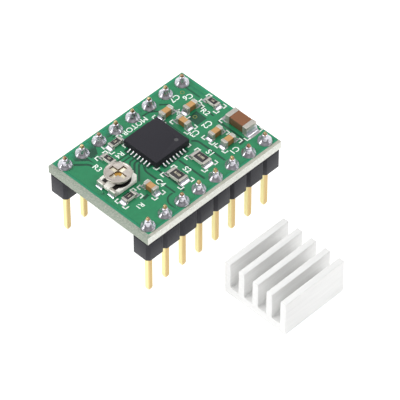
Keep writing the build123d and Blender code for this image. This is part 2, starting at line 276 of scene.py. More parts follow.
def plate_tree():
    """Fills closed outlines, leaves the inner ones open, and thickens the sheet upwards."""
    tree, entry = geometry_tree("etched_plate", "Height", "Thickness")
    sheet = add(tree, "GeometryNodeFillCurve", {"Curve": entry.outputs["Geometry"]})
    under = add(tree, "GeometryNodeFlipFaces", {"Mesh": sheet.outputs["Mesh"]})
    up = add(tree, "ShaderNodeCombineXYZ", {"Z": entry.outputs["Thickness"]})
    raised = add(tree, "GeometryNodeExtrudeMesh", {
        "Mesh": sheet.outputs["Mesh"], "Offset": up.outputs["Vector"],
        "Offset Scale": 1.0, "Individual": False})
    both = add(tree, "GeometryNodeJoinGeometry")
    for part in (under, raised):
        tree.links.new(part.outputs["Mesh"], both.inputs["Geometry"])
    merged = add(tree, "GeometryNodeMergeByDistance", {
        "Geometry": both.outputs["Geometry"], "Distance": 0.0005 * MM})
    lift = add(tree, "ShaderNodeCombineXYZ", {"Z": entry.outputs["Height"]})
    lifted = add(tree, "GeometryNodeTransform", {
        "Geometry": merged.outputs["Geometry"], "Translation": lift.outputs["Vector"]})
    return close_tree(tree, entry, lifted.outputs["Geometry"])


board_low, board_high = (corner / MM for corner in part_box("circuit_board"))
BOARD_TOP, BOARD_BOTTOM = board_high.z, board_low.z
SAWN_LEFT, SAWN_FRONT, SAWN_OTHER = 0.5, 0.4, 0.06     # laminate left bare at the edges
MASK = 0.012                                           # thickness of the mask
COPPER = 0.022                                         # rise of the mask over copper
STRIP_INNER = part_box("header_strip_rear")[0].y / MM

etched = finish("mask_over_laminate", rgb(10, 74, 52), 0.32, mottle=0.14, grain=0.6)
masked = finish("mask_over_copper", rgb(34, 128, 85), 0.32, mottle=0.1, grain=0.5,
                relief=0.003, specular=0.4)


def glowing_edge(material, color, inner, outer):
    """Turns a material to a colour near the board's edges, where light comes in sideways."""
    tree = material.node_tree
    shader = tree.nodes["Principled BSDF"]
    plain = shader.inputs["Base Color"].links[0].from_socket
    coords = add(tree, "ShaderNodeTexCoord")
    apart = add(tree, "ShaderNodeSeparateXYZ", {"Vector": coords.outputs["Object"]})
    near = []
    for axis, half in (("X", board_high.x), ("Y", board_high.y)):
        away = add(tree, "ShaderNodeMath", {0: apart.outputs[axis]}, operation="ABSOLUTE")
        near.append(add(tree, "ShaderNodeMapRange", {
            "Value": away.outputs["Value"], "From Min": (half - inner) * MM,
            "From Max": (half - outer) * MM}).outputs["Result"])
    share = add(tree, "ShaderNodeMath", {0: near[0], 1: near[1]}, operation="MAXIMUM")
    tree.links.new(blend_colors(tree, share.outputs["Value"], plain, color),
                   shader.inputs["Base Color"])


glowing_edge(etched, rgb(20, 138, 98), 1.6, 0.5)


def plate(name, outlines, bottom, thickness, material):
    """Flat plate with those closed outlines, its underside at a height."""
    paths = [[(x, y, 0) for x, y in outline] for outline in outlines]
    return grow(name, lines_object("outline", paths, True), plate_shape, material,
                {"Height": bottom * MM, "Thickness": thickness * MM})


def rectangle(x_low, x_high, y_low, y_high):
    return [(x_low, y_low), (x_high, y_low), (x_high, y_high), (x_low, y_high)]


def rounded_corner(before, corner, after, radius, steps):
    """Points of the curve that replaces a corner. It uses less than half of either side."""
    corner = Vector(corner)
    back = Vector(before) - corner
    ahead = Vector(after) - corner
    reach = min(radius, back.length / 2.01, ahead.length / 2.01)
    start = corner + back.normalized() * reach
    end = corner + ahead.normalized() * reach
    shares = [step / steps for step in range(steps + 1)]
    return [start * (1 - t) ** 2 + corner * 2 * t * (1 - t) + end * t * t for t in shares]


def rounded_path(path, radius, steps=5):
    """The path with its inner corners rounded."""
    points = [Vector(path[0])]
    for before, corner, after in zip(path, path[1:], path[2:]):
        points += rounded_corner(before, corner, after, radius, steps)
    return points + [Vector(path[-1])]


def etched_line(path, width, radius=0.6):
    """Closed outline of a line of that width along a path on the board."""
    points = rounded_path(path, radius)
    left, right = [], []
    for index, point in enumerate(points):
        behind = points[max(index - 1, 0)]
        ahead = points[min(index + 1, len(points) - 1)]
        along = (ahead - behind).normalized()
        side = Vector((-along.y, along.x)) * width / 2
        left.append(tuple(point + side))
        right.append(tuple(point - side))
    return left + right[::-1]


chip_low, chip_high = (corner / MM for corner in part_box("chip_package"))
PAD_REACH = 0.66       # bare laminate round the chip's leads
PAD_INSET = 0.62       # from the chip's corner to the first lead's bare laminate
POUR_INSET = 0.3       # from the edge of the mask to the edge of the copper below it

# Lines etched between tracks on the component side: from the chip's left leads round the trimmer,
# down to the front row between the motor tracks, and from the rear row. Three of them are also
# painted shadow, as marked below.
ETCHED_AND_SHADOW_LINES_TOP = [
    (0.2, [(-2.95, 2.8), (-4.5, 2.8), (-5.2, 2.5)]),
    (0.2, [(-2.95, 2.3), (-4.2, 2.3), (-4.7, 2.1)]),
    (0.22, [(-2.95, 1.8), (-3.6, 1.8), (-4.55, 0.9)]),
    (0.24, [(-2.95, 1.3), (-3.4, 1.3), (-4.75, -0.1)]),
    (0.24, [(-2.95, 0.8), (-3.2, 0.8), (-4.95, -1.0)]),
    (0.24, [(-2.95, 0.3), (-3.4, -0.35), (-3.38, -4.9)]),
    # Partly painted shadow: this dark line also stands for the shade of the chip's corner and of
    # the sense resistor beside it.
    (0.26, [(-2.3, -1.2), (-2.3, -5.0), (-2.6, -5.4)]),
    (0.26, [(0.3, -1.75), (0.3, -5.7)]),
    (0.26, [(3.3, -0.65), (3.8, -1.15), (3.8, -5.3)]),
    (0.22, [(8.72, 5.5), (8.72, 3.4)]),
    (0.22, [(9.25, 5.5), (9.25, 3.2)]),
    (0.3, [(-8.2, 5.75), (-7.05, 4.68), (-6.9, 4.2)]),
    # Partly painted shade: this dark arc round a front-row joint is clearance in the copper and
    # also stands for the shade at the joint's foot.
    (0.2, [(-4.95, -6.9), (-5.05, -5.5), (-4.4, -4.75), (-3.6, -4.75)]),
    (0.2, [(-2.35, 5.75), (-1.2, 5.75)]),
    (0.24, [(2.2, 5.75), (3.2, 5.75), (4.1, 4.95)]),
    (0.24, [(4.75, 5.75), (5.6, 4.95)]),
    (0.36, [(-6.45, -3.2), (-5.6, -3.05)]),
    (0.3, [(-7.7, -1.35), (-6.8, -1.35)]),
    (0.24, [(-9.2, 0.42), (-8.75, 0.42)]),
    # Partly painted shadow: this dark line also stands for the shadow along the bulk capacitor's
    # lower left side.
    (0.26, [(6.6, -4.75), (7.5, -4.75), (7.5, -0.6)]),
    (0.22, [(7.75, 0.3), (7.75, 2.5)]),
    (0.22, [(3.35, 3.6), (3.35, 0.2)]),
]
# Larger places where the copper was etched away
ETCHED_PATCHES = [
    [(-7.72, 6.05), (-6.62, 5.02), (-6.44, 4.3), (-6.4, 5.85), (-6.85, 6.2), (-7.05, 7.25),
     (-7.6, 7.25), (-7.55, 6.5)],
    [(-6.18, 5.75), (-6.18, 5.1), (-5.85, 5.1), (-5.75, 3.2), (-5.65, 5.1), (-5.2, 5.1),
     (-4.55, 6.15), (-4.75, 7.25), (-5.2, 7.25), (-5.3, 6.3)],
    [(5.45, 0.55), (6.95, 0.55), (6.95, 2.2), (5.45, 2.2)],
    [(-2.55, 7.25), (-2.75, 6.1), (-2.15, 5.95), (-1.95, 7.25)],
    [(2.35, 7.25), (2.45, 6.3), (2.75, 6.3), (2.75, 7.25)],
]


def chip_openings():
    """Bare strips under the four rows of leads."""
    x_low, x_high = chip_low.x, chip_high.x
    y_low, y_high = chip_low.y, chip_high.y
    return [
        rectangle(x_low - PAD_REACH, x_low, y_low + PAD_INSET, y_high - PAD_INSET),
        rectangle(x_high, x_high + PAD_REACH, y_low + PAD_INSET, y_high - PAD_INSET),
        rectangle(x_low + PAD_INSET, x_high - PAD_INSET, y_low - PAD_REACH, y_low),
        rectangle(x_low + PAD_INSET, x_high - PAD_INSET, y_high, y_high + PAD_REACH),
    ]


mask_edge = (board_low.x + SAWN_LEFT, board_high.x - SAWN_OTHER,
             board_low.y + SAWN_FRONT, board_high.y - SAWN_OTHER)
plate_shape = plate_tree()
top_mask = plate("top_mask", [rectangle(*mask_edge)], BOARD_TOP, MASK, etched)
attach(top_mask, "module", "board_mask")
pour = (mask_edge[0] + POUR_INSET, mask_edge[1] - POUR_INSET,
        mask_edge[2] + POUR_INSET, mask_edge[3] - POUR_INSET)
top_outlines = [rectangle(*pour)] + chip_openings() + ETCHED_PATCHES
top_outlines += [etched_line(path, width) for width, path in ETCHED_AND_SHADOW_LINES_TOP]
top_copper = plate("top_copper_relief", top_outlines, BOARD_TOP + MASK, COPPER, masked)
attach(top_copper, "module", "board_mask")

# The underside is seen only between the strips.
ETCHED_UNDER = [
    (0.22, [(-6.6, -4.7), (-6.6, -1.5), (-3.6, 1.5), (-3.6, 4.7)]),
    (0.22, [(-1.3, -4.7), (-1.3, -2.2)]),
    (0.22, [(1.3, 4.7), (1.3, 2.4), (4.0, -0.3), (4.0, -4.7)]),
    (0.22, [(6.4, 4.7), (6.4, -4.7)]),
]
under_edge = (mask_edge[0], mask_edge[1], -STRIP_INNER + 0.02, STRIP_INNER - 0.02)
under_mask = plate("under_mask", [rectangle(*under_edge)], BOARD_BOTTOM - MASK, MASK, etched)
attach(under_mask, "module", "board_mask")
under_outlines = [rectangle(*under_edge)]
under_outlines += [etched_line(path, width) for width, path in ETCHED_UNDER]
under_copper = plate("under_copper_relief", under_outlines, BOARD_BOTTOM - MASK - COPPER,
                     COPPER, masked)
attach(under_copper, "module", "board_mask")


GLASS_ENDS = rgb(142, 154, 140)
BARE_TOP = rgb(172, 174, 160)
GLASS_FIBRE = rgb(206, 196, 188)


def laminate():
    """Sawn glass laminate: speckled cream resin, greyer across the ends of the glass."""
    material = finish("sawn_laminate", rgb(240, 242, 234), 0.75, mottle=0.1, grain=0.16,
                      relief=0.012, contrast=3.0)
    tree = material.node_tree
    shader = tree.nodes["Principled BSDF"]
    speckled = shader.inputs["Base Color"].links[0].from_socket
    coords = add(tree, "ShaderNodeTexCoord")
    turned = add(tree, "ShaderNodeSeparateXYZ", {"Vector": coords.outputs["Normal"]})
    end = add(tree, "ShaderNodeMath", {0: turned.outputs["X"]}, operation="ABSOLUTE")
    colored = blend_colors(tree, end.outputs["Value"], speckled, GLASS_ENDS)
    flat = add(tree, "ShaderNodeMath", {0: turned.outputs["Z"]}, operation="ABSOLUTE")
    apart = add(tree, "ShaderNodeSeparateXYZ", {"Vector": coords.outputs["Object"]})
    at_left = add(tree, "ShaderNodeMath", {
        0: apart.outputs["X"], 1: (board_low.x + SAWN_LEFT) * MM}, operation="LESS_THAN")
    top_color = blend_colors(tree, at_left.outputs["Value"], BARE_TOP, GLASS_ENDS)
    colored = blend_colors(tree, flat.outputs["Value"], colored, top_color)
    placed = add(tree, "ShaderNodeMapping", {
        "Vector": coords.outputs["Object"], "Scale": (5200.0, 5200.0, 9000.0)})
    glass = add(tree, "ShaderNodeTexNoise", {
        "Vector": placed.outputs["Vector"], "Scale": 1.0, "Detail": 3.0})
    share = add(tree, "ShaderNodeMapRange", {
        "Value": glass.outputs["Fac"], "From Min": 0.45, "From Max": 0.7, "To Max": 0.45})
    colored = blend_colors(tree, share.outputs["Result"], colored, GLASS_FIBRE)
    tree.links.new(colored, shader.inputs["Base Color"])
    return material


repaint(laminate(), "circuit_board")

# ----------------------------------------------------------------------------------- vias
# Small plated holes that join the two faces of the board, each drawn as a flattened gold ring.
# The grid of nine under the chip carries its heat to the back.


def ring_tree():
    """A flattened ring on every point."""
    tree, entry = geometry_tree("plated_rings", "Radius", "Wire", "Rise")
    path = add(tree, "GeometryNodeCurvePrimitiveCircle", {
        "Resolution": 20, "Radius": entry.outputs["Radius"]})
    profile = add(tree, "GeometryNodeCurvePrimitiveCircle", {
        "Resolution": 8, "Radius": entry.outputs["Wire"]})
    ring = add(tree, "GeometryNodeCurveToMesh", {
        "Curve": path.outputs["Curve"], "Profile Curve": profile.outputs["Curve"]})
    flat = add(tree, "ShaderNodeCombineXYZ", {"X": 1.0, "Y": 1.0, "Z": entry.outputs["Rise"]})
    pressed = add(tree, "GeometryNodeTransform", {
        "Geometry": ring.outputs["Mesh"], "Scale": flat.outputs["Vector"]})
    placed = add(tree, "GeometryNodeInstanceOnPoints", {
        "Points": entry.outputs["Geometry"], "Instance": pressed.outputs["Geometry"]})
    return close_tree(tree, entry, placed.outputs["Instances"])


def points_object(name, points):
    mesh = bpy.data.meshes.new(name)
    mesh.from_pydata([[c * MM for c in point] for point in points], [], [])
    return linked(name, mesh)


chip_middle = (chip_low + chip_high) / 2
VIAS_TOP = [(6.2, 1.65), (7.9, 5.3)]
THERMAL_STEP = 0.9
VIA_RADIUS = 0.22
VIA_WIRE = 0.045        # half the width of the ring
VIA_RISE = 0.3          # its height, as a share of its width
thermal_vias = [(chip_middle.x + i * THERMAL_STEP, chip_middle.y + j * THERMAL_STEP)
                for i in (-1, 0, 1) for j in (-1, 0, 1)]
via_points = [(x, y, BOARD_TOP + MASK + COPPER) for x, y in VIAS_TOP]
via_points += [(x, y, BOARD_BOTTOM - MASK - COPPER) for x, y in VIAS_TOP + thermal_vias
               if abs(y) < STRIP_INNER - 0.4]
plated = finish("plated_via", rgb(138, 148, 84), 0.4, metallic=0.5, mottle=0.15, grain=0.1)
vias = grow("plated_vias", points_object("via_places", via_points), ring_tree(), plated,
            {"Radius": VIA_RADIUS * MM, "Wire": VIA_WIRE * MM, "Rise": VIA_RISE})
attach(vias, "module", "gold_plate")

# -------------------------------------------------------------------------- printed marks
# White ink screened on the mask: a corner bracket at each corner of a component's place,
# and plain reference letters, most of them upside down or on their side.

INK = 0.012
INK_Z = BOARD_TOP + MASK + COPPER
STROKE_WIDTH = 0.17
LETTER_WEIGHT = 0.012        # how far the letters are thickened, as a share of their height
UNDER_WORD_HEIGHT = 0.95
UNDER_WORD_INSET = 1.35      # from the inner side of the strip to the middle of the word
BRACKET_ARM = 0.5
BRACKET_END_GAP = 0.55
BRACKET_SIDE_GAP = 0.4


def stroke_tree():
    """Flat strokes of one width along a set of paths."""
    tree, entry = geometry_tree("ink_strokes", "Width", "Thickness")
    level = add(tree, "GeometryNodeSetCurveNormal", {"Curve": entry.outputs["Geometry"]},
                mode="Z_UP")
    profile = add(tree, "GeometryNodeCurvePrimitiveQuadrilateral", {
        "Width": entry.outputs["Width"], "Height": entry.outputs["Thickness"]})
    stroke = add(tree, "GeometryNodeCurveToMesh", {
        "Curve": level.outputs["Curve"], "Profile Curve": profile.outputs["Curve"],
        "Fill Caps": True})
    return close_tree(tree, entry, stroke.outputs["Mesh"])


def brackets(low, high, z):
    """Four corner marks round a rectangle."""
    marks = []
    for x, inward_x in ((low[0], 1), (high[0], -1)):
        for y, inward_y in ((low[1], 1), (high[1], -1)):
            marks.append([(x + inward_x * BRACKET_ARM, y, z), (x, y, z),
                          (x, y + inward_y * BRACKET_ARM, z)])
    return marks


def placed_text(text, size, thickness, matrix):
    """Mesh of a word, centred, then moved into place."""
    curve = bpy.data.curves.new(text, "FONT")
    curve.body = text
    curve.size = size * MM
    curve.extrude = thickness * MM / 2
    curve.offset = size * MM * LETTER_WEIGHT
    curve.resolution_u = 3
    curve.align_x = "CENTER"
    curve.align_y = "CENTER"
    word = bpy.data.objects.new(text, curve)
    bpy.context.scene.collection.objects.link(word)
    mesh = plain_mesh(word)
    mesh.transform(matrix)
    return mesh


def joined(name, meshes, *materials):
    """One piece from several meshes."""
    shape = bmesh.new()
    for mesh in meshes:
        shape.from_mesh(mesh)
    whole = bpy.data.meshes.new(name)
    shape.to_mesh(whole)
    shape.free()
    return linked(name, whole, *materials)


COMPONENTS = [n.removesuffix("_ends") for n in sorted(nodes) if n.endswith("_ends")]
bracket_paths = []
for component in COMPONENTS:
    low, high = (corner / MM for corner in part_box(component + "_ends"))
    lies_along_x = high.x - low.x > high.y - low.y
    gap_x = BRACKET_END_GAP if lies_along_x else BRACKET_SIDE_GAP
    gap_y = BRACKET_SIDE_GAP if lies_along_x else BRACKET_END_GAP
    bracket_paths += brackets((low.x - gap_x, low.y - gap_y), (high.x + gap_x, high.y + gap_y),
                              INK_Z + INK / 2)
CHIP_GAP = 0.12
bracket_paths += brackets((chip_low.x - CHIP_GAP, chip_low.y - CHIP_GAP),
                          (chip_high.x + CHIP_GAP, chip_high.y + CHIP_GAP), INK_Z + INK / 2)

ink = finish("screened_ink", rgb(238, 245, 238), 0.55, mottle=0.05, grain=0.15, relief=0.003)
strokes = grow("ink_brackets", lines_object("paths", bracket_paths, False), stroke_tree(), ink,
               {"Width": STROKE_WIDTH * MM, "Thickness": INK * MM})
attach(strokes, "module", "board_mask")

# Word, middle x and y, height and turn
TOP_WORDS = [
    ("MOTOR", 0.55, 5.32, 1.0, 180), ("C7", 6.65, 5.25, 1.05, 180), ("C6", 7.85, 4.4, 1.0, 165),
    ("R2", 7.5, 1.35, 1.0, -90), ("C2", 6.3, -0.1, 1.05, 180), ("C3", 4.35, -0.1, 1.0, 180),
    ("S1", 3.45, -3.4, 1.0, -90), ("S2", -0.1, -3.4, 1.0, -90), ("C4", -3.5, -2.75, 1.0, -90),
    ("R3", -6.75, 3.6, 1.0, -90), ("R4", -3.65, 3.35, 0.95, 180), ("R1", -7.4, -3.62, 0.9, 180),
    ("C1", 5.6, -4.95, 1.0, 180),
]
UNDER_WORDS = {
    -1: ("GND", "VDD", "1B", "1A", "2A", "2B", "GND", "VMOT"),
    1: ("DIR", "STEP", "SLP", "RST", "MS3", "MS2", "MS1", "EN"),
}
word_meshes = []
for word, x, y, height, turn in TOP_WORDS:
    spot = Matrix.Translation(Vector((x, y, INK_Z + INK / 2)) * MM)
    turned = Matrix.Rotation(radians(turn), 4, "Z")
    word_meshes.append(placed_text(word, height, INK, spot @ turned))
for side, words in UNDER_WORDS.items():
    pins = sorted((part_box(n)[0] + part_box(n)[1]).x / 2 / MM for n in nodes
                  if n.startswith("pin_") and not n.startswith("pin_solder")
                  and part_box(n)[0].y * side > 0)
    for word, x in zip(words, pins):
        z = BOARD_BOTTOM - MASK - COPPER - INK / 2
        spot = Matrix.Translation(Vector((x, side * (STRIP_INNER - UNDER_WORD_INSET), z)) * MM)
        face_down = Matrix.Rotation(pi, 4, "X") @ Matrix.Rotation(radians(90), 4, "Z")
        word_meshes.append(placed_text(word, UNDER_WORD_HEIGHT, INK, spot @ face_down))
words = joined("ink_letters", word_meshes, ink)
attach(words, "module", "board_mask")

# --------------------------------------------------------------------------- header strips
# Two strips of eight cells, moulded in black glass-filled plastic. The corners of each
# cell are cut, which leaves a V between two cells where the strip can be snapped.


def merged_copy(node):
    """Copy of a CAD node's mesh with its triangles merged into flat faces."""
    shape = bmesh.new()
    shape.from_mesh(nodes[node].data)
    bmesh.ops.remove_doubles(shape, verts=shape.verts, dist=0.0008 * MM)
    bmesh.ops.dissolve_limit(shape, angle_limit=radians(0.6), verts=shape.verts,
                             edges=shape.edges, delimit={"NORMAL"})
    mesh = bpy.data.meshes.new(node + "_shape")
    shape.to_mesh(mesh)
    shape.free()
    return mesh


def softened(piece, round_edge, sharp=40, segments=2, edge_slot=-1):
    """Rounds a piece's sharp edges and shades it smooth. Returns it as a plain mesh.

    edge_slot is the material slot that the rounded edges get, -1 for that of the sides.
    """
    if round_edge:
        bevel = piece.modifiers.new("edges", "BEVEL")
        bevel.width = round_edge * MM
        bevel.segments = segments
        bevel.limit_method = "ANGLE"
        bevel.angle_limit = radians(sharp)
        bevel.use_clamp_overlap = True
        bevel.material = edge_slot
    name = piece.name
    mesh = plain_mesh(piece)
    mesh.shade_smooth()
    mesh.set_sharp_from_angle(angle=radians(sharp))
    mesh.name = name
    return linked(name, mesh)


def refined(node, name, material, body, slot, round_edge, sharp=40, segments=2):
    """A piece that stands for a CAD node, with softened edges and its finish."""
    piece = softened(linked(name, merged_copy(node)), round_edge, sharp, segments)
    piece.data.materials.clear()
    piece.data.materials.append(material)
    attach(piece, body, slot, node)
    return piece


plastic = finish("black_plastic", rgb(46, 46, 52), 0.42, mottle=0.25, grain=0.12,
                 relief=0.006, stretch=(1, 1, 0.4), specular=0.2)
for row in ("front", "rear"):
    refined("header_strip_" + row, "moulded_strip_" + row, plastic, "module",
            "header_plastic", 0.05)

# ----------------------------------------------------------------------------- header pins
# Sixteen square brass pins, plated with pale gold, each with a blunt lower end and a slim
# upper end. Each is pressed through its cell and soldered into its hole in the board.

PIN_NODES = sorted(n for n in nodes if n.startswith("pin_") and not n.startswith("pin_solder"))
pin_low, pin_high = (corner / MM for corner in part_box(PIN_NODES[0]))
PIN_HALF = (pin_high.x - pin_low.x) / 2
PIN_TIP_HALF = 0.23        # half side of the lower end
PIN_TAPER = 0.42           # length over which it widens to the shank
PIN_TOP_HALF = 0.14
PIN_TOP_TAPER = 0.9
PIN_EDGE = 0.08            # rounding of the pin's long edges
PIN_END_CUT = 0.05         # the very end is smaller by this on each side


def tower(name, rings):
    """Closed mesh through rings of equal count, from the lowest ring to the highest."""
    shape = bmesh.new()
    loops = [[shape.verts.new([c * MM for c in point]) for point in ring] for ring in rings]
    for low, high in zip(loops, loops[1:]):
        for index in range(len(low)):
            after = (index + 1) % len(low)
            shape.faces.new((low[index], low[after], high[after], high[index]))
    shape.faces.new(loops[0][::-1])
    shape.faces.new(loops[-1])
    mesh = bpy.data.meshes.new(name)
    shape.to_mesh(mesh)
    shape.free()
    return mesh


def square_ring(half, cut, z):
    """Square of that half side with cut corners."""
    near, far = half - cut, half
    return [(near, -far, z), (far, -near, z), (far, near, z), (near, far, z),
            (-near, far, z), (-far, near, z), (-far, -near, z), (-near, -far, z)]


def pin_rings():
    """A blunt lower end and a slim upper end, whose sides curve into the straight shank."""
    rings = []
    for end, direction, tip_half, taper, curve in (
            (pin_low.z, 1, PIN_TIP_HALF, PIN_TAPER, 1.7),
            (pin_high.z, -1, PIN_TOP_HALF, PIN_TOP_TAPER, 1.0)):
        rows = []
        for share in (0.0, 0.06, 0.35, 0.7, 1.0):
            half = tip_half + (PIN_HALF - tip_half) * (1 - (1 - share) ** curve)
            if share == 0:
                half -= PIN_END_CUT
            z = end + direction * share * taper
            rows.append(square_ring(half, min(PIN_EDGE, half / 3), z))
        rings += rows if direction > 0 else rows[::-1]
    return rings


def instance_tree():
    """One shape on every point, turned by quarters and made a little shorter at random."""
    tree, entry = geometry_tree("standing_shapes", "Stretch")
    tree.interface.new_socket("Shape", in_out="INPUT", socket_type="NodeSocketObject")
    shape = add(tree, "GeometryNodeObjectInfo", {"Object": entry.outputs["Shape"]})
    quarter = add(tree, "FunctionNodeRandomValue", {4: 0, 5: 3, "Seed": 4}, data_type="INT")
    angle = add(tree, "ShaderNodeMath", {0: quarter.outputs[2], 1: pi / 2}, operation="MULTIPLY")
    turn = add(tree, "ShaderNodeCombineXYZ", {"Z": angle.outputs["Value"]})
    chance = add(tree, "FunctionNodeRandomValue", {2: 0.0, 3: 1.0, "Seed": 9},
                 data_type="FLOAT")
    change = add(tree, "ShaderNodeMath", {
        0: chance.outputs[1], 1: entry.outputs["Stretch"]}, operation="MULTIPLY")
    tall = add(tree, "ShaderNodeMath", {0: 1.0, 1: change.outputs["Value"]}, operation="SUBTRACT")
    size = add(tree, "ShaderNodeCombineXYZ", {"X": 1.0, "Y": 1.0, "Z": tall.outputs["Value"]})
    placed = add(tree, "GeometryNodeInstanceOnPoints", {
        "Points": entry.outputs["Geometry"], "Instance": shape.outputs["Geometry"],
        "Rotation": turn.outputs["Vector"], "Scale": size.outputs["Vector"]})
    return close_tree(tree, entry, placed.outputs["Instances"])


gold = finish("pale_gold", rgb(250, 236, 172), 0.32, metallic=0.55, mottle=0.06, grain=0.25,
              relief=0.002, stretch=(1, 1, 0.15))


def paint_shade_on_y_faces(material, color):
    """Paints shade on the faces that look along Y: a duller tan stands in for the darker
    reflection they catch.
    """
    tree = material.node_tree
    shader = tree.nodes["Principled BSDF"]
    plain = shader.inputs["Base Color"].links[0].from_socket
    coords = add(tree, "ShaderNodeTexCoord")
    turned = add(tree, "ShaderNodeSeparateXYZ", {"Vector": coords.outputs["Normal"]})
    along = add(tree, "ShaderNodeMath", {0: turned.outputs["Y"]}, operation="ABSOLUTE")
    share = add(tree, "ShaderNodeMapRange", {
        "Value": along.outputs["Value"], "From Min": 0.5, "From Max": 0.85})
    tree.links.new(blend_colors(tree, share.outputs["Result"], plain, color),
                   shader.inputs["Base Color"])


def wetted_above(material, color, low, high):
    """Turns a material to a colour, in patches, between two heights."""
    tree = material.node_tree
    shader = tree.nodes["Principled BSDF"]
    plain = shader.inputs["Base Color"].links[0].from_socket
    coords = add(tree, "ShaderNodeTexCoord")
    apart = add(tree, "ShaderNodeSeparateXYZ", {"Vector": coords.outputs["Object"]})
    patches = add(tree, "ShaderNodeTexNoise", {
        "Vector": coords.outputs["Object"], "Scale": 1400.0, "Detail": 1.0})
    up = add(tree, "ShaderNodeMapRange", {
        "Value": apart.outputs["Z"], "From Min": low * MM, "From Max": high * MM})
    share = add(tree, "ShaderNodeMath", {
        0: up.outputs["Result"], 1: patches.outputs["Fac"]}, operation="MULTIPLY")
    stronger = add(tree, "ShaderNodeMath", {
        0: share.outputs["Value"], 1: 1.5}, operation="MULTIPLY", use_clamp=True)
    tree.links.new(blend_colors(tree, stronger.outputs["Value"], plain, color),
                   shader.inputs["Base Color"])


# Painted shade: the pins' faces that look along Y get a duller tan for the darker reflection they
# catch.
paint_shade_on_y_faces(gold, rgb(208, 178, 118))
wetted_above(gold, rgb(136, 98, 76), BOARD_TOP + 0.5, BOARD_TOP + 0.9)
standing = instance_tree()
pin_shape = linked("pin_shape", tower("pin_shape", pin_rings()))
pin_places = [(sum(corner.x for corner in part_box(n)) / 2 / MM,
               sum(corner.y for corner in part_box(n)) / 2 / MM, 0) for n in PIN_NODES]
pins = grow("header_pins", points_object("pin_places", pin_places), standing, gold,
            {"Stretch": 0.0, "Shape": pin_shape})
bpy.data.objects.remove(pin_shape)
attach(pins, "module", "gold_plate", *PIN_NODES)

# ------------------------------------------------------------------------------ pin solder
# A cone of bright solder climbs each pin from its plated hole. Its sides are hollow, drawn
# into a soft ridge against each face of the pin, and no two cones cooled quite alike.

joint_low, joint_high = (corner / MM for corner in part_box("pin_solder_front"))
CONE_FOOT = (joint_high.y - joint_low.y) / 2
CONE_TOP = joint_high.z
CONE_SIDES = 40
RIDGES = 4
RIDGE_DEPTH = 0.16      # share of the radius, where the ridges stand out most
RIDGE_FADE = 1.6        # the ridges end at 1 / 1.6 of the way up

# Radius of the solder, as a share of its foot's, from the board to the top of the cone
CONE_PROFILE = (1.0, 0.99, 0.94, 0.85, 0.75, 0.67, 0.6, 0.55, 0.51, 0.48, 0.46, 0.43, 0.39, 0.3)


def cone_rings():
    """Rings from a round foot, through the ridges, to a narrow round top on the pin."""
    rings = []
    foot = BOARD_TOP + MASK
    last = len(CONE_PROFILE) - 1
    for row, width in enumerate(CONE_PROFILE):
        share = row / last
        ring = []
        for index in range(CONE_SIDES):
            angle = 2 * pi * index / CONE_SIDES
            ridge = RIDGE_DEPTH * sin(pi * min(1.0, share * RIDGE_FADE)) * cos(RIDGES * angle)
            radius = min(CONE_FOOT * width * (1 + ridge), CONE_FOOT)
            ring.append((radius * cos(angle), radius * sin(angle),
                         foot + (CONE_TOP - foot) * share))
        rings.append(ring)
    return rings


def uneven_tree():
    """Pushes a surface in and out with a noise in space, and shades it smooth."""
    tree, entry = geometry_tree("uneven_solder", "Depth", "Grain")
    place = add(tree, "GeometryNodeInputPosition")
    scale = add(tree, "ShaderNodeMath", {0: 1.0, 1: entry.outputs["Grain"]}, operation="DIVIDE")
    noise = add(tree, "ShaderNodeTexNoise", {
        "Vector": place.outputs["Position"], "Scale": scale.outputs["Value"], "Detail": 2.0})
    mostly_inward = 0.62
    centred = add(tree, "ShaderNodeMath", {
        0: noise.outputs["Fac"], 1: mostly_inward}, operation="SUBTRACT")
    depth = add(tree, "ShaderNodeMath", {
        0: centred.outputs["Value"], 1: entry.outputs["Depth"]}, operation="MULTIPLY")
    normal = add(tree, "GeometryNodeInputNormal")
    push = add(tree, "ShaderNodeVectorMath", {
        0: normal.outputs["Normal"], "Scale": depth.outputs["Value"]}, operation="SCALE")
    pushed = add(tree, "GeometryNodeSetPosition", {
        "Geometry": entry.outputs["Geometry"], "Offset": push.outputs["Vector"]})
    smooth = add(tree, "GeometryNodeSetShadeSmooth", {"Geometry": pushed.outputs["Geometry"]})
    return close_tree(tree, entry, smooth.outputs["Geometry"])


solder = finish("bright_solder", rgb(206, 204, 212), 0.3, metallic=1.0, mottle=0.12, grain=0.4,
                relief=0.004, stretch=(1, 1, 0.4))
uneven = uneven_tree()
cone_shape = linked("cone_shape", tower("cone_shape", cone_rings()))
cone_places = [(x, y, 0) for x, y, _ in pin_places]
cones = grow("cones", points_object("cone_places", cone_places), standing, solder,
             {"Stretch": 0.012, "Shape": cone_shape})
bpy.data.objects.remove(cone_shape)
cones = grow("pin_solder", cones, uneven, solder, {"Depth": 0.1 * MM, "Grain": 0.9 * MM})
attach(cones, "module", "solder", "pin_solder_front", "pin_solder_rear")

# ------------------------------------------------------------------------------ driver chip
# Flat square package of black moulding compound, with seven tinned leads flush with each
# side. Inside are the copper pad and the silicon die. It is soldered down by its leads. The
# floor of the round dimple in its top, which marks the first lead, is worn to a lighter grey.

